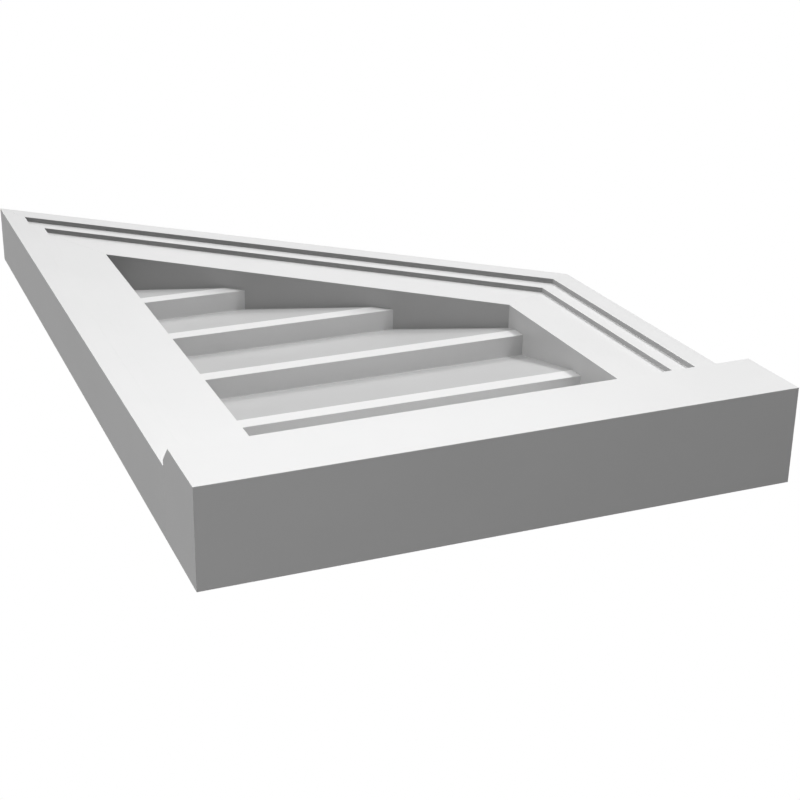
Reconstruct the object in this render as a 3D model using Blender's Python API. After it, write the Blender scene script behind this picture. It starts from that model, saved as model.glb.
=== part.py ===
"""A decorative gable vent with half of a peaked top, in metres, +Z up, its face towards -Y.

It is built of white cellular PVC. A square sill carries two upright jambs, and a head between them
follows the roof's slope. Jambs and head are one stepped moulding, mitred at both upper corners. Five
bevelled louvre boards, stacked edge to edge like siding, close the opening, so no air passes.

Every piece is flat at the back, in the wall's plane y = 0. The origin is the middle of the sill's back.
"""

import math

import bmesh
import bpy
from mathutils import Matrix, Vector

INCH = 0.0254
JOINT = 0.0003  # the fine line that stays open where two pieces meet
WELD = 1e-6  # points closer than this are one point

# Outside sizes
WIDTH = 12 * INCH
TALL_SIDE = 20 * INCH
SHORT_SIDE = 9 * INCH

# The sill is as wide as the frame and stands proud of it
SILL_HEIGHT = 2 * INCH
SILL_DEPTH = 2 * INCH
SILL_CHAMFER = 0.375 * INCH

# The moulding's face drops in two steps, from the outer band to the broad band beside the opening
MOULDING_WIDTH = 2 * INCH
OUTER_BAND_WIDTH = 0.5 * INCH
OUTER_BAND_DEPTH = 1.5 * INCH
MIDDLE_BAND_WIDTH = 0.375 * INCH
MIDDLE_BAND_DEPTH = 1.375 * INCH
BROAD_BAND_DEPTH = 1.25 * INCH

# Each louvre board is thick at its nose and bevelled to a thinner upper edge
LOUVRE_COUNT = 5
LOUVRE_NOSE_DEPTH = 0.75 * INCH
LOUVRE_NOSE_HEIGHT = 0.375 * INCH
LOUVRE_TOP_DEPTH = 0.25 * INCH

# Worked out from the sizes above, with heights counted from the foot of the sill
ORIGIN_HEIGHT = SILL_HEIGHT / 2
RISE_PER_RUN = (TALL_SIDE - SHORT_SIDE) / WIDTH
SLOPE_STRETCH = math.hypot(1, RISE_PER_RUN)
ROOF_ANGLE = math.atan(RISE_PER_RUN)
OPENING_LEFT = -WIDTH / 2 + MOULDING_WIDTH
OPENING_RIGHT = WIDTH / 2 - MOULDING_WIDTH
UPWARDS = Vector((0, 0, 1))

# Matt white all over: the moulding's extruded skin is a little smoother than the milled boards
PVC_COLOUR = (0.90, 0.90, 0.89, 1.0)
SKIN_ROUGHNESS = 0.42
MILLED_ROUGHNESS = 0.50


def slope_height(x, inset=0.0):
    """The height, at x, of the line along the roof's slope at this distance inside the head's edge."""
    return TALL_SIDE - (x + WIDTH / 2) * RISE_PER_RUN - inset * SLOPE_STRETCH


def on_front(x, height):
    """A point of the front view, given across from the middle and up from the foot of the sill."""
    return Vector((x, 0, height - ORIGIN_HEIGHT))


def collection(name):
    made = bpy.data.collections.new(name)
    bpy.context.scene.collection.children.link(made)
    return made


def pvc(name, roughness):
    """Matt white cellular PVC."""
    material = bpy.data.materials.new(name)
    material.use_nodes = True
    shader = material.node_tree.nodes["Principled BSDF"]
    shader.inputs["Base Color"].default_value = PVC_COLOUR
    shader.inputs["Roughness"].default_value = roughness
    shader.inputs["Metallic"].default_value = 0.0
    return material


def moulding_section():
    """The stepped moulding seen from its end: x runs in from the outer edge, y out from the wall."""
    middle_edge = OUTER_BAND_WIDTH + MIDDLE_BAND_WIDTH
    return [
        (0, 0),
        (MOULDING_WIDTH, 0),
        (MOULDING_WIDTH, BROAD_BAND_DEPTH),
        (middle_edge, BROAD_BAND_DEPTH),
        (middle_edge, MIDDLE_BAND_DEPTH),
        (OUTER_BAND_WIDTH, MIDDLE_BAND_DEPTH),
        (OUTER_BAND_WIDTH, OUTER_BAND_DEPTH),
        (0, OUTER_BAND_DEPTH),
    ]


def sill_section():
    """The sill seen from its end: x runs up from its foot, y out from the wall."""
    return [
        (0, 0),
        (SILL_HEIGHT, 0),
        (SILL_HEIGHT, SILL_DEPTH - SILL_CHAMFER),
        (SILL_HEIGHT - SILL_CHAMFER, SILL_DEPTH),
        (0, SILL_DEPTH),
    ]


def louvre_section(height):
    """A louvre board seen from its end: x runs up from its nose, y out from the wall."""
    return [
        (0, 0),
        (height, 0),
        (height, LOUVRE_TOP_DEPTH),
        (LOUVRE_NOSE_HEIGHT, LOUVRE_NOSE_DEPTH),
        (0, LOUVRE_NOSE_DEPTH),
    ]


def extrude(name, section, length, start, across, material):
    """A solid of this section, whose x runs from start along across, and whose y runs out of the wall.

    It runs on by length along the third direction, which is across turned a quarter clockwise in the
    front view.
    """
    curve = bpy.data.curves.new(name, "CURVE")
    curve.dimensions = "2D"
    curve.fill_mode = "BOTH"
    curve.extrude = length / 2
    outline = curve.splines.new("POLY")
    outline.points.add(len(section) - 1)
    outline.use_cyclic_u = True
    for point, (x, y) in zip(outline.points, section):
        point.co = (x, y, 0, 1)
    drawn = bpy.data.objects.new(name, curve)
    parts.objects.link(drawn)

    out = Vector((0, -1, 0))
    along = across.cross(out)
    turned = Matrix((across, out, along)).transposed().to_4x4()
    drawn.matrix_world = Matrix.Translation(start + along * length / 2) @ turned
    return made_mesh(drawn, material)


def made_mesh(drawn, material):
    """Turns the extruded curve into a mesh object in the same place, with its caps welded on."""
    bpy.context.view_layer.update()
    evaluated = drawn.evaluated_get(bpy.context.evaluated_depsgraph_get())
    mesh = bpy.data.meshes.new_from_object(evaluated)
    shape = bmesh.new()
    shape.from_mesh(mesh)
    bmesh.ops.remove_doubles(shape, verts=shape.verts, dist=WELD)
    bmesh.ops.recalc_face_normals(shape, faces=shape.faces)
    shape.to_mesh(mesh)
    shape.free()

    name = drawn.name
    place = drawn.matrix_world.copy()
    bpy.data.curves.remove(drawn.data)
    piece = bpy.data.objects.new(name, mesh)
    mesh.name = name
    mesh.materials.append(material)
    parts.objects.link(piece)
    piece.parent = vent
    piece.matrix_world = place
    bpy.context.view_layer.update()
    return piece


def saw(piece, point, waste_side):
    """Cuts the piece along the plane through point and takes away what lies on the waste side."""
    to_piece = piece.matrix_world.inverted()
    shape = bmesh.new()
    shape.from_mesh(piece.data)
    bmesh.ops.bisect_plane(
        shape,
        geom=shape.verts[:] + shape.edges[:] + shape.faces[:],
        plane_co=to_piece @ point,
        plane_no=to_piece.to_3x3() @ waste_side,
        clear_outer=True,
    )
    rim = [edge for edge in shape.edges if edge.is_boundary]
    bmesh.ops.holes_fill(shape, edges=rim)
    bmesh.ops.recalc_face_normals(shape, faces=shape.faces)
    shape.to_mesh(piece.data)
    shape.free()


def across_mitre(x_outer, x_inner):
    """A point of the mitre at one upper corner, and the way across it, from the jamb to the head."""
    outer = on_front(x_outer, slope_height(x_outer))
    inner = on_front(x_inner, slope_height(x_inner, MOULDING_WIDTH))
    line = (inner - outer).normalized()
    to_head = Vector((line.z, 0, -line.x))
    if to_head.z < 0:
        to_head.negate()
    return outer, to_head


def sill():
    """The square sill, its upper front edge chamfered, with both ends flush with the frame."""
    start = on_front(-WIDTH / 2, 0)
    extrude("sill", sill_section(), WIDTH, start, UPWARDS, moulded)


def jamb(name, side, x_outer, x_inner):
    """One upright of the frame, standing on the sill; side is +1 on the right and -1 on the left."""
    foot = SILL_HEIGHT + JOINT
    length = slope_height(x_outer) - foot + MOULDING_WIDTH
    start = on_front(x_outer, foot + length if side < 0 else foot)
    piece = extrude(name, moulding_section(), length, start, Vector((-side, 0, 0)), moulded)
    corner, to_head = across_mitre(x_outer, x_inner)
    saw(piece, corner - to_head * JOINT / 2, to_head)


def head():
    """The moulding along the roof's slope, mitred to the tall jamb above and the short one below."""
    downhill = Vector((math.cos(ROOF_ANGLE), 0, -math.sin(ROOF_ANGLE)))
    inwards = Vector((-math.sin(ROOF_ANGLE), 0, -math.cos(ROOF_ANGLE)))
    spare = MOULDING_WIDTH
    top = on_front(-WIDTH / 2, TALL_SIDE) - downhill * spare
    bottom = on_front(WIDTH / 2, SHORT_SIDE) + downhill * spare
    length = (bottom - top).length
    piece = extrude("rake_head", moulding_section(), length, bottom, inwards, moulded)
    for x_outer, x_inner in ((-WIDTH / 2, OPENING_LEFT), (WIDTH / 2, OPENING_RIGHT)):
        corner, to_head = across_mitre(x_outer, x_inner)
        saw(piece, corner + to_head * JOINT / 2, -to_head)


def louvres():
    """The boards, counted from the sill up, cut to fit between the jambs and under the head."""
    opening_top = slope_height(OPENING_LEFT, MOULDING_WIDTH)
    pitch = (opening_top - SILL_HEIGHT) / LOUVRE_COUNT
    length = OPENING_RIGHT - OPENING_LEFT - 2 * JOINT
    under_head = on_front(OPENING_LEFT, slope_height(OPENING_LEFT, MOULDING_WIDTH + JOINT))
    uphill = Vector((math.sin(ROOF_ANGLE), 0, math.cos(ROOF_ANGLE)))
    for number in range(LOUVRE_COUNT):
        nose = SILL_HEIGHT + number * pitch + JOINT
        name = f"louvre_{number + 1}"
        start = on_front(OPENING_LEFT + JOINT, nose)
        board = extrude(name, louvre_section(pitch - JOINT), length, start, UPWARDS, milled)
        if nose + pitch > slope_height(OPENING_RIGHT, MOULDING_WIDTH):
            saw(board, under_head, uphill)


for leftover in list(bpy.data.objects):
    bpy.data.objects.remove(leftover)

parts = collection("gable_vent")
vent = bpy.data.objects.new("vent_origin", None)
parts.objects.link(vent)
moulded = pvc("moulded_pvc", SKIN_ROUGHNESS)
milled = pvc("milled_pvc", MILLED_ROUGHNESS)

sill()
jamb("tall_jamb", -1, -WIDTH / 2, OPENING_LEFT)
jamb("short_jamb", 1, WIDTH / 2, OPENING_RIGHT)
head()
louvres()
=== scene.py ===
# %% [markdown]
# A decorative gable vent in white cellular PVC
#
# A gable vent dresses the triangle of wall under a pitched roof. This one is cut for one side of a
# peak, so its head slopes and its two sides differ in height. It is joined up like a window frame:
# a deep sill, two upright mouldings and a raking one, with bevelled boards between them that look
# like louvres. The boards lie edge to edge, so the vent is for show and no air passes.
#
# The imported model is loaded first, because it fixes where every piece stands. The vent stands as
# it does on its wall: z runs up, the face looks towards -y, and the backs lie in the plane y = 0.

# %% Load the frame
import math

import bpy
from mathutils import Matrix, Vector


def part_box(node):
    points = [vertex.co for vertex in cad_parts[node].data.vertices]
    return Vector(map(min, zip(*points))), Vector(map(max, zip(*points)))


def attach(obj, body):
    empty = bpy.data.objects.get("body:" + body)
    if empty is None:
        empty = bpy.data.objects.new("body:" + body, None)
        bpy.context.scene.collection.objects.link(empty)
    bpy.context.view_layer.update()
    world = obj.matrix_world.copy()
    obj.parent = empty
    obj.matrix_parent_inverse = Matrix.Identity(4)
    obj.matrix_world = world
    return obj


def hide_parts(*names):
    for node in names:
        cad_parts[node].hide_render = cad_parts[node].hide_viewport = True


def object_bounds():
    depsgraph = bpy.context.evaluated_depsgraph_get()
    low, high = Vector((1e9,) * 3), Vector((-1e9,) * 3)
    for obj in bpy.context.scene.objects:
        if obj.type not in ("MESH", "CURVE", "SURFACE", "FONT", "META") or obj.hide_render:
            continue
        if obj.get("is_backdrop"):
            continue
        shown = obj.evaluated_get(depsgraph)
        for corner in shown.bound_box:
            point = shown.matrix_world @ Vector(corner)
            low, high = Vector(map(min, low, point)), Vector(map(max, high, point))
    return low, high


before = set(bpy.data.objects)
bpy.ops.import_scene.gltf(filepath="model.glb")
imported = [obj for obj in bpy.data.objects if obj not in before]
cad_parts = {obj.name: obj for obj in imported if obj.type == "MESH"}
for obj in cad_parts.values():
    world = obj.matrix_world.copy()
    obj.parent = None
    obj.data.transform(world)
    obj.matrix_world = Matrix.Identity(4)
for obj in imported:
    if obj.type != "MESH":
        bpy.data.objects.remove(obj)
cad_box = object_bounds()
print("nodes in the frame:", ", ".join(sorted(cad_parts)))

# %% [markdown]
# Sizes
#
# Mouldings and boards of this kind are made in inches, so the sizes are written in inches and
# turned to metres. All places are worked out from them: the opening is what the mouldings leave
# free, and the slope of the roof follows from the two sides and the width. The slope could be given
# as an angle instead, but with a rounded angle the two sides would miss their whole inches.
#
# A size that only one piece needs is given where that piece is made.

# %% Driving sizes
MM = 0.001
INCH = 25.4 * MM

WIDTH = 12 * INCH
TALL_SIDE = 20 * INCH
SHORT_SIDE = 9 * INCH

SILL_HEIGHT = 2 * INCH
MOULDING_WIDTH = 2 * INCH
BOARD_COUNT = 5

# %% Places worked out from the sizes
sill_low, sill_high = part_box("sill")
FOOT = sill_low.z
SILL_TOP = FOOT + SILL_HEIGHT
LEFT = -WIDTH / 2
RIGHT = WIDTH / 2
OPENING_LEFT = LEFT + MOULDING_WIDTH
OPENING_RIGHT = RIGHT - MOULDING_WIDTH

RISE_PER_RUN = (TALL_SIDE - SHORT_SIDE) / WIDTH
ROOF_ANGLE = math.atan(RISE_PER_RUN)
SLOPE_STRETCH = math.hypot(1, RISE_PER_RUN)


def under_roof(x, inset=0.0):
    """The point of the wall's plane at x, on the line that runs this far below the head's top."""
    return Vector((x, 0, FOOT + TALL_SIDE - (x - LEFT) * RISE_PER_RUN - inset * SLOPE_STRETCH))


BOARD_PITCH = (under_roof(OPENING_LEFT, MOULDING_WIDTH).z - SILL_TOP) / BOARD_COUNT
print(f"roof pitch {math.degrees(ROOF_ANGLE):.1f} degrees, board pitch {BOARD_PITCH / MM:.1f} mm")
print(f"sill here {WIDTH / MM:.1f} mm wide, in the frame {(sill_high - sill_low).x / MM:.1f} mm")

# %% [markdown]
# The camera
#
# The view is from below and a little to the left of the vent, close under its sill, and the camera
# is rolled so that the wall's plane lies like a table top in the picture. The picture was also
# framed off its middle, which a shift of the lens repeats without turning the camera. Place, lens
# and roll were worked out from the vent's straight edges in the picture.
#
# A Track To constraint could aim the camera, but it would keep it from rolling. The track
# quaternion aims it with its sides level, and the roll is then one more turn about its line of sight.

# %% Camera
EYE = Vector((-299.9, -336.4, -585.2)) * MM
AIM = Vector((-14.2, 0.0, 219.5)) * MM
ROLL = math.radians(-44.65)
LENS = 68.4
SHIFT = (0.118, -0.053)
NEAREST_SEEN = 10 * MM


def studio_camera():
    """A camera at EYE that looks at AIM."""
    bpy.ops.object.select_all(action="DESELECT")
    bpy.ops.object.camera_add(location=EYE)
    camera = bpy.context.active_object
    camera.name = "camera"
    camera.rotation_euler = (AIM - EYE).to_track_quat("-Z", "Y").to_euler()
    camera.rotation_euler.rotate_axis("Z", ROLL)
    camera.data.lens = LENS
    camera.data.shift_x, camera.data.shift_y = SHIFT
    camera.data.clip_start = NEAREST_SEEN
    return camera


bpy.context.scene.camera = studio_camera()
print(f"camera {(AIM - EYE).length:.2f} m from the vent, {LENS} mm lens")

# %% [markdown]
# A few hand tools
#
# Each piece is worked the way it would be by hand: take it up, pick some of its faces or edges by
# where they are, and use one of Blender's modelling operators on them. Listing every point of a
# mesh would work too, but the script would no longer show how the piece is made.
#
# An operator acts on all that is selected, so every tool starts by selecting nothing.

# %% Hand tools
def take(piece):
    """Selects this piece alone and makes it the active one."""
    bpy.ops.object.select_all(action="DESELECT")
    piece.select_set(True)
    bpy.context.view_layer.objects.active = piece


def pick(piece, kind, wanted):
    """Goes into edit mode with only those faces or edges selected whose middle is wanted."""
    take(piece)
    bpy.ops.object.mode_set(mode="EDIT")
    bpy.ops.mesh.select_mode(type=kind)
    bpy.ops.mesh.select_all(action="DESELECT")
    bpy.ops.object.mode_set(mode="OBJECT")
    mesh = piece.data
    parts = mesh.polygons if kind == "FACE" else mesh.edges
    count = 0
    for part in parts:
        corners = [mesh.vertices[index].co for index in part.vertices]
        part.select = wanted(sum(corners, Vector()) / len(corners))
        count += part.select
    bpy.ops.object.mode_set(mode="EDIT")
    return count


# %% [markdown]
# Eased arrises
#
# No edge of a real moulding is perfectly sharp. The die that the PVC is pushed through, or the
# cutter that mills it, leaves each arris round by a tenth or two of a millimetre, and each inner
# corner as well. It is too small to change an outline, but it catches a thin line of light.
#
# Each edge could be picked and bevelled by hand, but a Bevel modifier that is limited by angle
# finds them all by itself. It goes on while a piece is still a full length of stock, so that the
# later saw cuts stay clean and meet tightly.

# %% Easing
ARRIS = 0.15 * MM
ARRIS_STEPS = 3
ARRIS_ANGLE = math.radians(30)


def apply_modifier(piece, kind, **settings):
    """Adds a modifier with these settings and applies it."""
    take(piece)
    modifier = piece.modifiers.new(kind.lower(), kind)
    for name, value in settings.items():
        setattr(modifier, name, value)
    bpy.ops.object.modifier_apply(modifier=modifier.name)


def ease_arrises(piece):
    """Rounds every edge that folds by more than ARRIS_ANGLE."""
    apply_modifier(
        piece, "BEVEL", width=ARRIS, segments=ARRIS_STEPS, limit_method="ANGLE", angle_limit=ARRIS_ANGLE
    )


print(f"arrises eased by {ARRIS / MM:.2f} mm in {ARRIS_STEPS} steps")

# %% [markdown]
# White cellular PVC
#
# The vent is made of cellular PVC, the foamed plastic that exterior trim is sold in. It leaves its
# die with a closed, satin skin that has very faint lines along the length, where the die drags.
# A cutter that goes through this skin lays the foam open. The foam is just as white, and a milled
# face is a little rougher than the skin. Here the bevels of the boards and the narrow walls of the
# moulding's steps are such faces. They lie back in the frame, where shade falls, so they are given
# a grey in place of white: painted shade for those recesses. The small hollows of the open foam
# add only a little real shade of their own.
#
# Both start from one Principled shader with the IOR of PVC. Plain values for colour and roughness
# would be enough from far off, but close to, nothing real is that even. So colour, roughness and
# bump come from patterns that read Object coordinates, in metres, and each scale is one over a real
# size.
#
# A Mix node has its sockets for numbers, vectors and colours side by side, under the same names, so
# its colour sockets are given by their number.

# %% Colour and node helpers
MIX_FACTOR = 0
COLOUR_A = 6
COLOUR_B = 7
MIXED_COLOUR = 2


def linear(hex_colour):
    """Turns an sRGB hex colour into the linear values that a shader takes."""
    channels = [int(hex_colour[start:start + 2], 16) / 255 for start in (1, 3, 5)]
    bent = [c / 12.92 if c <= 0.04045 else ((c + 0.055) / 1.055) ** 2.4 for c in channels]
    return (*bent, 1.0)


def add_node(tree, kind, settings=None, links=None):
    """Adds a node, sets its options and input values, and links its inputs to other outputs."""
    node = tree.nodes.new(kind)
    for name, value in (settings or {}).items():
        if isinstance(name, int) or name in node.inputs:
            node.inputs[name].default_value = value
        else:
            setattr(node, name, value)
    for name, source in (links or {}).items():
        tree.links.new(source, node.inputs[name])
    return node


def new_material(name, ior):
    """A material with its node tree and its Principled shader, which has this IOR."""
    material = bpy.data.materials.new(name)
    material.use_nodes = True
    shader = material.node_tree.nodes["Principled BSDF"]
    shader.inputs["IOR"].default_value = ior
    return material, material.node_tree, shader


def along_length(tree, turn):
    """Object coordinates of a piece whose length was z until it was turned by this angle about y."""
    place = add_node(tree, "ShaderNodeTexCoord")
    mapping = add_node(tree, "ShaderNodeMapping", {"Rotation": (0, -turn, 0)},
                       {"Vector": place.outputs["Object"]})
    return mapping.outputs["Vector"]


# %% [markdown]
# The extruded skin
#
# The draw lines run along each moulding, so the pattern has to turn with it. A Mapping node turns
# the coordinates until the length of the piece is z. A second one squeezes them, so that round
# blobs of noise become long thin streaks. Real draw lines stand about half a millimetre apart,
# which no pixel of the picture can show, so they are drawn two millimetres apart.
#
# A picture of plastic would be quicker, but it repeats, and it has no size of its own.

# %% Extruded skin
PVC_IOR = 1.53
PVC_WHITE = "#E9E9E9"
PVC_SHADE = "#E4E4E4"
DRAW_LINE_SPACING = 2.0 * MM
DRAW_LINE_LENGTH = 180 * MM
DRAW_LINE_DEPTH = 0.02 * MM
SKIN_GRAIN = 0.9 * MM
SKIN_GRAIN_DEPTH = 0.005 * MM
FINE_DETAIL = 2.0
CLOUD_SIZE = 45 * MM
CLOUD_DETAIL = 3.0
SKIN_ROUGHNESS = (0.34, 0.42)


def extruded_pvc(name, turn=0.0):
    """The skin of a moulding whose length was z until it was turned by this angle about y."""
    material, tree, shader = new_material(name, PVC_IOR)
    along = along_length(tree, turn)
    squeeze = (1 / DRAW_LINE_SPACING, 1 / DRAW_LINE_SPACING, 1 / DRAW_LINE_LENGTH)
    thin = add_node(tree, "ShaderNodeMapping", {"Scale": squeeze}, {"Vector": along})
    streaks = add_node(tree, "ShaderNodeTexNoise", {"Scale": 1.0, "Detail": FINE_DETAIL},
                       {"Vector": thin.outputs["Vector"]})
    clouds = add_node(tree, "ShaderNodeTexNoise", {"Scale": 1 / CLOUD_SIZE, "Detail": CLOUD_DETAIL},
                      {"Vector": along})
    grain = add_node(tree, "ShaderNodeTexNoise", {"Scale": 1 / SKIN_GRAIN, "Detail": FINE_DETAIL},
                     {"Vector": along})

    tint = add_node(tree, "ShaderNodeMix",
                    {"data_type": "RGBA", COLOUR_A: linear(PVC_SHADE), COLOUR_B: linear(PVC_WHITE)},
                    {MIX_FACTOR: clouds.outputs["Fac"]})
    sheen = add_node(tree, "ShaderNodeMapRange",
                     {"To Min": SKIN_ROUGHNESS[0], "To Max": SKIN_ROUGHNESS[1]},
                     {"Value": streaks.outputs["Fac"]})
    lines = add_node(tree, "ShaderNodeBump", {"Distance": DRAW_LINE_DEPTH},
                     {"Height": streaks.outputs["Fac"]})
    fine = add_node(tree, "ShaderNodeBump", {"Distance": SKIN_GRAIN_DEPTH},
                    {"Height": grain.outputs["Fac"], "Normal": lines.outputs["Normal"]})
    tree.links.new(tint.outputs[MIXED_COLOUR], shader.inputs["Base Color"])
    tree.links.new(sheen.outputs["Result"], shader.inputs["Roughness"])
    tree.links.new(fine.outputs["Normal"], shader.inputs["Normal"])
    return material


LEVEL = math.pi / 2
RAKING = LEVEL + ROOF_ANGLE

upright_skin = extruded_pvc("extruded_pvc_upright")
raking_skin = extruded_pvc("extruded_pvc_raking", turn=RAKING)
level_skin = extruded_pvc("extruded_pvc_level", turn=LEVEL)
print(f"draw lines {DRAW_LINE_SPACING / MM:.1f} mm apart, {DRAW_LINE_DEPTH / MM:.2f} mm deep")

# %% [markdown]
# The milled face
#
# A planer head cuts a shallow scoop with each knife, so a milled face has ripples straight across
# its feed. A Wave texture in bands along the length draws them, a little broken up, because no two
# scoops are quite alike. At a scale of one it runs through twenty radians in a unit of length, and
# the scale that gives the ripples their pitch is worked out from that.
#
# A Voronoi texture scatters the few larger pores: only the very middle of its cells is deep.

# %% Milled face
# The two core greys are painted shade: the foam is white, and these greys darken the recessed milled
# faces as their shade would. Random clouds mix the two.
CORE_PAINTED_SHADE_LIGHT = "#C2C2C2"
CORE_PAINTED_SHADE_DARK = "#BCBCBC"
RIPPLE_PITCH = 1.8 * MM
RIPPLE_DEPTH = 0.012 * MM
RIPPLE_UNEVENNESS = 0.6
RIPPLE_DETAIL = 1.0
PORE_SPACING = 9 * MM
PORE_REACH = 0.035
PORE_DEPTH = 0.15 * MM
MILLED_ROUGHNESS = (0.42, 0.52)
WAVES_PER_UNIT = 20 / (2 * math.pi)


def milled_pvc_with_painted_shade(name, turn=0.0):
    """A face planed along its length, which was z until it was turned by this angle about y. Its grey
    colour is painted shade.
    """
    material, tree, shader = new_material(name, PVC_IOR)
    along = along_length(tree, turn)
    waves = {
        "bands_direction": "Z",
        "Scale": 1 / RIPPLE_PITCH / WAVES_PER_UNIT,
        "Distortion": RIPPLE_UNEVENNESS,
        "Detail": RIPPLE_DETAIL,
    }
    ripples = add_node(tree, "ShaderNodeTexWave", waves, {"Vector": along})
    clouds = add_node(tree, "ShaderNodeTexNoise", {"Scale": 1 / CLOUD_SIZE, "Detail": CLOUD_DETAIL},
                      {"Vector": along})
    cells = add_node(tree, "ShaderNodeTexVoronoi", {"Scale": 1 / PORE_SPACING},
                     {"Vector": along})
    pores = add_node(tree, "ShaderNodeMapRange", {"From Max": PORE_REACH},
                     {"Value": cells.outputs["Distance"]})

    # Painted shade: this grey base colour darkens the face as the shade of its recess would.
    tint = add_node(tree, "ShaderNodeMix",
                    {"data_type": "RGBA", COLOUR_A: linear(CORE_PAINTED_SHADE_DARK), COLOUR_B: linear(CORE_PAINTED_SHADE_LIGHT)},
                    {MIX_FACTOR: clouds.outputs["Fac"]})
    sheen = add_node(tree, "ShaderNodeMapRange",
                     {"To Min": MILLED_ROUGHNESS[0], "To Max": MILLED_ROUGHNESS[1]},
                     {"Value": clouds.outputs["Fac"]})
    scoops = add_node(tree, "ShaderNodeBump", {"Distance": RIPPLE_DEPTH},
                      {"Height": ripples.outputs["Fac"]})
    pitted = add_node(tree, "ShaderNodeBump", {"Distance": PORE_DEPTH},
                      {"Height": pores.outputs["Result"], "Normal": scoops.outputs["Normal"]})
    tree.links.new(tint.outputs[MIXED_COLOUR], shader.inputs["Base Color"])
    tree.links.new(sheen.outputs["Result"], shader.inputs["Roughness"])
    tree.links.new(pitted.outputs["Normal"], shader.inputs["Normal"])
    return material


upright_milled_painted_shade = milled_pvc_with_painted_shade("milled_pvc_with_painted_shade_upright")
raking_milled_painted_shade = milled_pvc_with_painted_shade("milled_pvc_with_painted_shade_raking", turn=RAKING)
level_milled_painted_shade = milled_pvc_with_painted_shade("milled_pvc_with_painted_shade_level", turn=LEVEL)
print(f"cutter ripples {RIPPLE_PITCH / MM:.1f} mm apart, {RIPPLE_DEPTH / MM:.3f} mm deep")

# %% [markdown]
# A stick of brickmould
#
# The two jambs and the head are one moulding, a stepped brickmould two inches wide. Its face drops
# in two narrow steps from the outer band to the broad band beside the opening. It comes as a long
# stick, and the joiner cuts three lengths from it.
#
# A profile swept along a curve could make the whole frame at once, but it would be one piece that
# is folded at its corners. So one stick is made here. It starts as a block as deep as the broad
# band. Two cuts that drop nothing mark where the steps are, and the faces outside them are extruded
# forwards one step at a time. Making the stick once means that its profile meets itself exactly at
# both mitres.
#
# The broad faces keep the skin of the die. The long walls that face the opening are trimmed to size
# by a cutter, so they get the milled material, whose grey is painted shade for these recessed walls.
# Faces are picked by where their middles lie, to within a hair, which is a hundredth of a millimetre
# here.

# %% A block and a straight cut
def block(name, low, high):
    """A cube stretched from one corner to the other, its size and place applied to its mesh."""
    bpy.ops.object.select_all(action="DESELECT")
    bpy.ops.mesh.primitive_cube_add(size=1, location=(low + high) / 2)
    piece = bpy.context.active_object
    piece.name = piece.data.name = name
    piece.scale = high - low
    bpy.ops.object.transform_apply(location=True, rotation=True, scale=True)
    return piece


def cut(piece, through, across, drop_waste=True):
    """Cuts in the plane through a point. What lies on the side across points to is dropped."""
    take(piece)
    bpy.ops.object.mode_set(mode="EDIT")
    bpy.ops.mesh.select_all(action="SELECT")
    bpy.ops.mesh.bisect(
        plane_co=through, plane_no=across, use_fill=drop_waste, clear_outer=drop_waste
    )
    bpy.ops.object.mode_set(mode="OBJECT")


# %% Block with the edges of its bands marked
OUTER_BAND = 0.5 * INCH
MIDDLE_BAND = 0.375 * INCH
BROAD_BAND_DEPTH = 1.25 * INCH
SPARE = 100 * MM
STICK_LENGTH = TALL_SIDE + SPARE

stick = block(
    "stick",
    Vector((0, -BROAD_BAND_DEPTH, 0)),
    Vector((MOULDING_WIDTH, 0, STICK_LENGTH)),
)
for step_edge in (OUTER_BAND, OUTER_BAND + MIDDLE_BAND):
    cut(stick, Vector((step_edge, 0, 0)), Vector((1, 0, 0)), drop_waste=False)
print(f"stick {STICK_LENGTH / MM:.0f} mm long, {len(stick.data.polygons)} faces")

# %% Bands raised by extruding
BAND_STEP = 0.125 * INCH
HAIR = 0.01 * MM
FLATTEST_FOLD = math.radians(1)


def raise_bands(reach, front):
    """Extrudes the face of the bands out to this far from the outer edge, by one step."""
    pick(stick, "FACE", lambda middle: middle.y < front + HAIR and middle.x < reach)
    bpy.ops.mesh.extrude_region_move(TRANSFORM_OT_translate={"value": (0, -BAND_STEP, 0)})
    bpy.ops.object.mode_set(mode="OBJECT")


def merge_flat_faces(piece):
    """Takes out the edges that working on the piece has left within its flat faces."""
    take(piece)
    bpy.ops.object.mode_set(mode="EDIT")
    bpy.ops.mesh.select_all(action="SELECT")
    bpy.ops.mesh.dissolve_limited(angle_limit=FLATTEST_FOLD)
    bpy.ops.object.mode_set(mode="OBJECT")


raise_bands(OUTER_BAND + MIDDLE_BAND, -BROAD_BAND_DEPTH)
raise_bands(OUTER_BAND, -BROAD_BAND_DEPTH - BAND_STEP)
merge_flat_faces(stick)
ease_arrises(stick)
print(f"stick {stick.dimensions.y / MM:.1f} mm deep, {len(stick.data.polygons)} faces")

# %% Skin all over, and walls that the cutter has passed
stick.data.materials.append(upright_skin)
# The milled material carries painted shade: a grey for the recessed walls.
stick.data.materials.append(upright_milled_painted_shade)
WALLS = (OUTER_BAND, OUTER_BAND + MIDDLE_BAND, MOULDING_WIDTH)
HALF_LENGTH = STICK_LENGTH / 2


def on_wall(middle):
    """Whether this is one of the long narrow walls that face the opening."""
    return any((middle - Vector((wall, middle.y, HALF_LENGTH))).length < HAIR for wall in WALLS)


def mill(piece, wanted):
    """Gives the wanted faces the second material of the piece, the milled one with painted shade, and
    counts them.
    """
    count = pick(piece, "FACE", wanted)
    piece.active_material_index = 1
    bpy.ops.object.material_slot_assign()
    bpy.ops.object.mode_set(mode="OBJECT")
    return count


print("walls milled:", mill(stick, on_wall))

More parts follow.
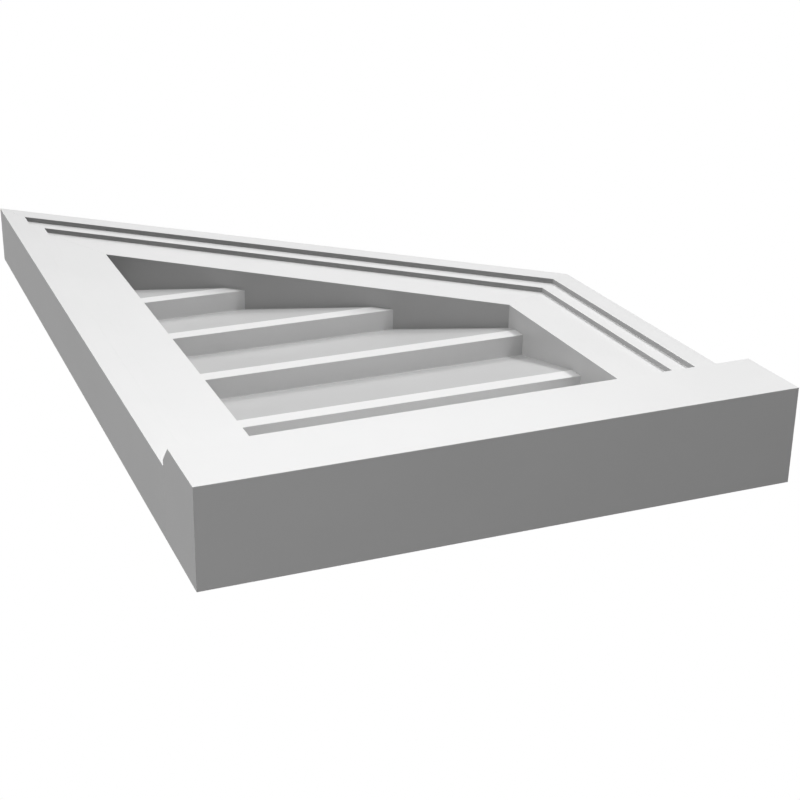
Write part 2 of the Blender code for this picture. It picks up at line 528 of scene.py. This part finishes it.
# %% [markdown]
# Mitres
#
# Where two lengths of the same moulding meet, each is sawn along the line from the outer corner to
# the inner one. Every band then runs into its like on the other piece, whatever the angle. At the
# tall side the corner is much sharper than a right angle, so its mitre is long.
#
# A Boolean with a wedge would saw the mitre too, but a bisect needs no more than a point of the cut
# and the direction across it, and it leaves the rounds of the arrises as they are.
#
# The joints are glued, and so tight that they hardly show. A hairline is left between the pieces,
# because two faces in exactly the same place would flicker.

# %% Mitre planes
JOINT = 0.05 * MM


def mitre(x_outer, x_inner):
    """The outer corner of a mitre, and the direction across it, from the jamb to the head."""
    outer = under_roof(x_outer)
    line = under_roof(x_inner, MOULDING_WIDTH) - outer
    across = Vector((line.z, 0, -line.x)).normalized()
    if across.z < 0:
        across.negate()
    return outer, across


tall_corner, tall_across = mitre(LEFT, OPENING_LEFT)
short_corner, short_across = mitre(RIGHT, OPENING_RIGHT)
for side, across in (("tall", tall_across), ("short", short_across)):
    angle = math.degrees(math.atan2(abs(across.x), across.z))
    print(f"{side} side: mitre {angle:.1f} degrees from level")

# %% [markdown]
# The two jambs
#
# For the tall jamb the stick is simply moved to the left side. For the short one it is turned end
# for end in the wall's plane, so that its outer edge looks the other way and its face still looks
# forwards. A negative scale would mirror it there too, but that turns a mesh inside out.
#
# Both are longer than they need to be, and are sawn off square at the foot, where they stand on the
# sill, and at the mitre.

# %% Lengths laid in place
def copy_of(piece, name):
    """A copy with a mesh of its own."""
    take(piece)
    bpy.ops.object.duplicate()
    made = bpy.context.active_object
    made.name = made.data.name = name
    return made


def set_in_place(piece, place, turn=0.0):
    """Turns a piece in the wall's plane, moves it to its place, and applies both to its mesh."""
    take(piece)
    piece.rotation_euler.y = turn
    piece.location = place
    bpy.ops.object.transform_apply(location=True, rotation=True, scale=True)


# %% Jambs
END_FOR_END = math.pi
sawn_foot = Vector((0, 0, SILL_TOP + JOINT))
downwards = Vector((0, 0, -1))

tall_jamb = copy_of(stick, "tall_jamb_moulding")
set_in_place(tall_jamb, Vector((LEFT, 0, FOOT)))
cut(tall_jamb, tall_corner - tall_across * JOINT / 2, tall_across)
cut(tall_jamb, sawn_foot, downwards)

short_jamb = copy_of(stick, "short_jamb_moulding")
set_in_place(short_jamb, Vector((RIGHT, 0, FOOT + STICK_LENGTH)), turn=END_FOR_END)
cut(short_jamb, short_corner - short_across * JOINT / 2, short_across)
cut(short_jamb, sawn_foot, downwards)
for jamb in (tall_jamb, short_jamb):
    print(f"{jamb.name} {jamb.dimensions.z / MM:.1f} mm long")

# %% [markdown]
# The raking head
#
# The third length lies along the roof. Turning the stick by a right angle and the roof's angle
# brings its outer edge to the top, and its length to run downhill. It starts a little above the
# tall corner and ends beyond the short one, and the two mitres cut it to length.
#
# The tip at the tall side would be as sharp as a blade, so it is rubbed down until it is blunt.

# %% Head
TIP_RUBBED = 0.4 * MM

head = copy_of(stick, "raking_head_moulding")
downhill = Vector((math.cos(ROOF_ANGLE), 0, -math.sin(ROOF_ANGLE)))
set_in_place(head, tall_corner - downhill * SPARE / 2, turn=RAKING)
cut(head, tall_corner + tall_across * JOINT / 2, -tall_across)
cut(head, short_corner + short_across * JOINT / 2, -short_across)

to_tip = (tall_corner - under_roof(OPENING_LEFT, MOULDING_WIDTH)).normalized()
for piece in (tall_jamb, head):
    cut(piece, tall_corner - to_tip * TIP_RUBBED, to_tip)

head.data.materials[0] = raking_skin
head.data.materials[1] = raking_milled_painted_shade
bpy.data.objects.remove(stick)
print(f"head runs down by {head.dimensions.z / MM:.1f} mm")

# %% [markdown]
# Finishing a piece
#
# The rounds are only three strips wide, so they are shaded smooth. Smooth shading alone would bend
# the light on the broad faces as well. A Weighted Normal modifier keeps those flat and leaves the
# bend to the narrow strips.
#
# A finished piece stands for its node of the frame. It also joins the collection that the vent's
# lamps will light.

# %% The three mouldings finished
SMOOTH_ANGLE = math.radians(40)
finished = bpy.data.collections.new("finished_pieces")


def finish_piece(piece, node):
    """Smooths the rounds and lets the piece stand for its node."""
    take(piece)
    bpy.ops.object.shade_smooth_by_angle(angle=SMOOTH_ANGLE, keep_sharp_edges=True)
    apply_modifier(piece, "WEIGHTED_NORMAL", keep_sharp=True)
    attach(piece, "root")
    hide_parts(node)
    finished.objects.link(piece)
    size = piece.dimensions / MM
    faces = len(piece.data.polygons)
    print(f"{piece.name}: {size.x:.1f} x {size.y:.1f} x {size.z:.1f} mm, {faces} faces")


finish_piece(tall_jamb, "tall_jamb")
finish_piece(short_jamb, "short_jamb")
finish_piece(head, "rake_head")

# %% [markdown]
# The sill
#
# The sill is a square bar as wide as the frame, and it stands half an inch proud of it. Its upper
# front edge is chamfered, so that rain runs off. A Boolean could plane the corner off, but a bevel
# does it without a second solid: one edge of the block is bevelled by the width of the chamfer in a
# single step. Then all its arrises are eased.

# %% Sill
SILL_DEPTH = 2 * INCH
SILL_CHAMFER = 0.375 * INCH

sill = block(
    "sill_bar",
    Vector((LEFT, -SILL_DEPTH, FOOT)),
    Vector((RIGHT, 0, SILL_TOP)),
)
chamfered = pick(
    sill, "EDGE", lambda middle: middle.y < -SILL_DEPTH + HAIR and middle.z > SILL_TOP - HAIR
)
bpy.ops.mesh.bevel(offset=SILL_CHAMFER, segments=1, affect="EDGES")
bpy.ops.object.mode_set(mode="OBJECT")
ease_arrises(sill)
print(f"chamfered {chamfered} edge by {SILL_CHAMFER / MM:.1f} mm")
sill.data.materials.append(level_skin)
finish_piece(sill, "sill")

# %% [markdown]
# The louvre boards
#
# Each board is sawn from sheet three quarters of an inch thick. It keeps its full thickness for
# a short way above its lower edge, the nose, and from there a bevel takes it down to a quarter of
# an inch at the top. The next board's nose stands on that thin edge and hides the end of the bevel.
# The bevel is milled, so it is the one broad face of a board that has lost its skin. Its grey is
# painted shade for the recess under the next board's nose.
#
# One board is made as a block. A cut marks the top of the nose, and the upper front edge is pushed
# back. The fold between nose and bevel is too slight for the smoothing to see, so it is marked
# sharp by hand.

# %% One board
NOSE_DEPTH = 0.75 * INCH
NOSE_HEIGHT = 0.375 * INCH
TOP_DEPTH = 0.25 * INCH

board = block(
    "board",
    Vector((OPENING_LEFT - SPARE, -NOSE_DEPTH, JOINT)),
    Vector((OPENING_RIGHT + SPARE, 0, BOARD_PITCH)),
)
cut(board, Vector((0, 0, NOSE_HEIGHT)), Vector((0, 0, 1)), drop_waste=False)
pick(board, "EDGE", lambda middle: middle.y < -NOSE_DEPTH + HAIR and middle.z > BOARD_PITCH - HAIR)
bpy.ops.transform.translate(value=(0, NOSE_DEPTH - TOP_DEPTH, 0))
bpy.ops.object.mode_set(mode="OBJECT")
merge_flat_faces(board)
ease_arrises(board)


def on_fold(middle):
    """Whether this is the edge between the nose's face and the bevel."""
    return middle.y < -NOSE_DEPTH + HAIR and abs(middle.z - NOSE_HEIGHT) < HAIR


print("folds marked sharp:", pick(board, "EDGE", on_fold))
bpy.ops.mesh.mark_sharp()
bpy.ops.object.mode_set(mode="OBJECT")
bevel_angle = math.degrees(math.atan((NOSE_DEPTH - TOP_DEPTH) / (BOARD_PITCH - NOSE_HEIGHT)))
print(f"the bevel leans back by {bevel_angle:.1f} degrees")

# %% Skin and milled bevel on one board
board.data.materials.append(level_skin)
# The bevel's milled material carries painted shade: a grey for the recess under the next nose.
board.data.materials.append(level_milled_painted_shade)


def on_bevel(middle):
    """Whether this is the broad face that the cutter has bevelled."""
    half_way = (NOSE_HEIGHT + BOARD_PITCH) / 2
    return abs(middle.x) < HAIR and middle.y < -TOP_DEPTH and abs(middle.z - half_way) < ARRIS


print("faces milled:", mill(board, on_bevel))

# %% [markdown]
# Five boards in the opening
#
# An Array modifier would repeat the board in one go, but all five would be one mesh, and each of
# them is sawn differently where the head slopes across it. So the board is copied five times. Each
# copy is lifted to its place and sawn at both jambs and under the head, with a hairline to spare.

# %% Five boards, sawn to fit the opening
under_head = under_roof(OPENING_LEFT, MOULDING_WIDTH + JOINT)
uphill = Vector((math.sin(ROOF_ANGLE), 0, math.cos(ROOF_ANGLE)))
for number in range(BOARD_COUNT):
    louvre = copy_of(board, f"louvre_board_{number + 1}")
    nose = SILL_TOP + number * BOARD_PITCH
    set_in_place(louvre, Vector((0, 0, nose)))
    cut(louvre, Vector((OPENING_LEFT + JOINT, 0, 0)), Vector((-1, 0, 0)))
    cut(louvre, Vector((OPENING_RIGHT - JOINT, 0, 0)), Vector((1, 0, 0)))
    cut(louvre, under_head, uphill)
    finish_piece(louvre, f"louvre_{number + 1}")
bpy.data.objects.remove(board)

# %% [markdown]
# The floor
#
# The vent hangs on a wall, so the floor is well below it. It is matt white paint, plain and pale,
# and so wide that its edge lies at the horizon. A square would do, but the edge of a circle is as far
# away on every side.
#
# The vent's lamps leave the floor out, because their light would lie on it in pools, and a soft sun
# of its own keeps it evenly pale. It throws no light back at the vent either, because that would
# wash out the shade under the sill.

# %% Floor
FLOOR_LEVEL = -3.0
FLOOR_RADIUS = 150.0
FLOOR_CORNERS = 96
FLOOR_PALE = "#F4F4F4"
FLOOR_MOTTLE = "#EFEFEF"
FLOOR_MOTTLE_SIZE = 0.35
PAINT_IOR = 1.53
PAINT_ROUGHNESS = 0.9


def matt_paint():
    """Matt white paint with a very faint mottle."""
    material, tree, shader = new_material("floor_paint", PAINT_IOR)
    shader.inputs["Roughness"].default_value = PAINT_ROUGHNESS
    place = add_node(tree, "ShaderNodeTexCoord")
    mottle = add_node(tree, "ShaderNodeTexNoise", {"Scale": 1 / FLOOR_MOTTLE_SIZE},
                      {"Vector": place.outputs["Object"]})
    tint = add_node(tree, "ShaderNodeMix",
                    {"data_type": "RGBA", COLOUR_A: linear(FLOOR_MOTTLE), COLOUR_B: linear(FLOOR_PALE)},
                    {MIX_FACTOR: mottle.outputs["Fac"]})
    tree.links.new(tint.outputs[MIXED_COLOUR], shader.inputs["Base Color"])
    return material


bpy.ops.object.select_all(action="DESELECT")
bpy.ops.mesh.primitive_circle_add(
    vertices=FLOOR_CORNERS, radius=FLOOR_RADIUS, fill_type="NGON", location=(0, 0, FLOOR_LEVEL)
)
floor = bpy.context.active_object
floor.name = "floor"
bpy.ops.object.transform_apply(location=True, rotation=True, scale=True)
floor.data.materials.append(matt_paint())
floor.visible_diffuse = False
floor.visible_glossy = False
floor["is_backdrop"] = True
print(f"floor {-FLOOR_LEVEL + FOOT:.2f} m below the sill")

# %% [markdown]
# Soft studio light
#
# A picture of a studio wrapped round the world could light the vent, but lamps can be set one by
# one, and they can leave the floor out.
#
# Most of the light comes from wide lamps five metres away, so that it hardly changes across the
# vent: one high on the left, two in front and above, and a low one for the left sides. The high one
# on the left stands for light that is scattered from everywhere, so it casts no shadows.
#
# A small key lamp near the vent, to the right, draws the crisp narrow shadow of the frame on the
# boards. Another small lamp stands close in front, a little below the sill, and its light fades
# towards the top. Both are kept out of the sheen, where they would show as hot spots. The last three
# lamps lift the faces that the others leave dark: the underside, the right side and the back.
#
# White faces also light each other. In steps as narrow as those of the moulding this would take
# away the shade that draws them, so rays that bounce off a matt face pass through the mouldings.

# %% Lamps
MIDDLE = (cad_box[0] + cad_box[1]) / 2

LAMPS = {
    # name: place in m, side in m, power in W
    "key": ((0.66, -1.45, 0.03), 0.14, 9.8),
    "near": ((0.0, -0.60, -0.15), 0.4, 0.94),
    "front": ((1.14, -3.83, 3.27), 3.0, 93.0),
    "high_front": ((0.0, -2.93, 4.30), 3.0, 31.0),
    "upper_left": ((-2.75, -2.04, 3.89), 3.0, 149.0),
    "low_left": ((-4.08, 2.02, -1.81), 3.0, 63.0),
    "below": ((0.0, 1.09, -2.01), 1.5, 7.2),
    "right": ((4.47, 2.21, 0.80), 3.0, 70.0),
    "back": ((0.6, 3.0, 1.4), 2.0, 50.0),
}


def soft_lamp(name, place, side, power):
    """A square lamp that is aimed at the vent's middle and isn't seen itself."""
    bpy.ops.object.select_all(action="DESELECT")
    bpy.ops.object.light_add(type="AREA", location=place)
    lamp = bpy.context.active_object
    lamp.name = f"{name}_lamp"
    lamp.data.size = side
    lamp.data.energy = power
    lamp.rotation_euler = (MIDDLE - Vector(place)).to_track_quat("-Z", "Y").to_euler()
    lamp.visible_camera = False
    lamp.light_linking.receiver_collection = finished
    return lamp


lamps = {name: soft_lamp(name, *values) for name, values in LAMPS.items()}
print("lamps:", ", ".join(lamps))

# %% Sheen, shadow and bounced light left out
NO_SHEEN = ("key", "near")
NO_SHADOW = ("upper_left",)

for name in NO_SHEEN:
    lamps[name].visible_glossy = False
for name in NO_SHADOW:
    lamps[name].data.use_shadow = False
for moulding in (tall_jamb, short_jamb, head):
    moulding.visible_diffuse = False
print(f"no sheen from {' and '.join(NO_SHEEN)}, no shadow from {' and '.join(NO_SHADOW)}")

# %% The floor's own light
FLOOR_SUN_STRENGTH = 3.4
FLOOR_SUN_SOFTNESS = math.radians(40)

bpy.ops.object.select_all(action="DESELECT")
bpy.ops.object.light_add(type="SUN", location=(0, 0, 1))
floor_sun = bpy.context.active_object
floor_sun.name = "floor_sun"
floor_sun.data.energy = FLOOR_SUN_STRENGTH
floor_sun.data.angle = FLOOR_SUN_SOFTNESS
only_floor = bpy.data.collections.new("lit_by_floor_sun")
only_floor.objects.link(floor)
floor_sun.light_linking.receiver_collection = only_floor
print(f"floor sun {math.degrees(FLOOR_SUN_SOFTNESS):.0f} degrees wide")

# %% [markdown]
# The world
#
# The world is plain white to the camera, and almost black to everything else. White walls all round
# would light every face alike, and it is the shade between the faces that shows the form. The
# standard view transform shows white as white, where a filmic one would turn it grey.
#
# The two shader sockets of a Mix Shader have the same name, so they are given by their number.

# %% World and tones
AMBIENT = 0.02
WHITE = (1.0, 1.0, 1.0, 1.0)
SHADER_A = 1
SHADER_B = 2

world = bpy.data.worlds.new("studio")
world.use_nodes = True
bpy.context.scene.world = world
sky = world.node_tree
seen = sky.nodes["Background"]
seen.inputs["Color"].default_value = WHITE
rays = add_node(sky, "ShaderNodeLightPath")
dim = add_node(sky, "ShaderNodeBackground", {"Color": WHITE, "Strength": AMBIENT})
by_ray = {
    "Fac": rays.outputs["Is Camera Ray"],
    SHADER_A: dim.outputs["Background"],
    SHADER_B: seen.outputs["Background"],
}
either = add_node(sky, "ShaderNodeMixShader", None, by_ray)
sky.links.new(either.outputs["Shader"], sky.nodes["World Output"].inputs["Surface"])
bpy.context.scene.view_settings.view_transform = "Standard"
print(f"the world lights the vent with {AMBIENT:.0%} of the white that the camera sees")

# %% [markdown]
# Measure
#
# The dressed vent has to keep the size of the frame, so both boxes are written down side by side.

# %% Sizes before and after
dressed_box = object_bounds()
for label, corners in (("frame", cad_box), ("dressed", dressed_box)):
    size = (corners[1] - corners[0]) / MM
    print(f"{label}: {size.x:.2f} x {size.y:.2f} x {size.z:.2f} mm")
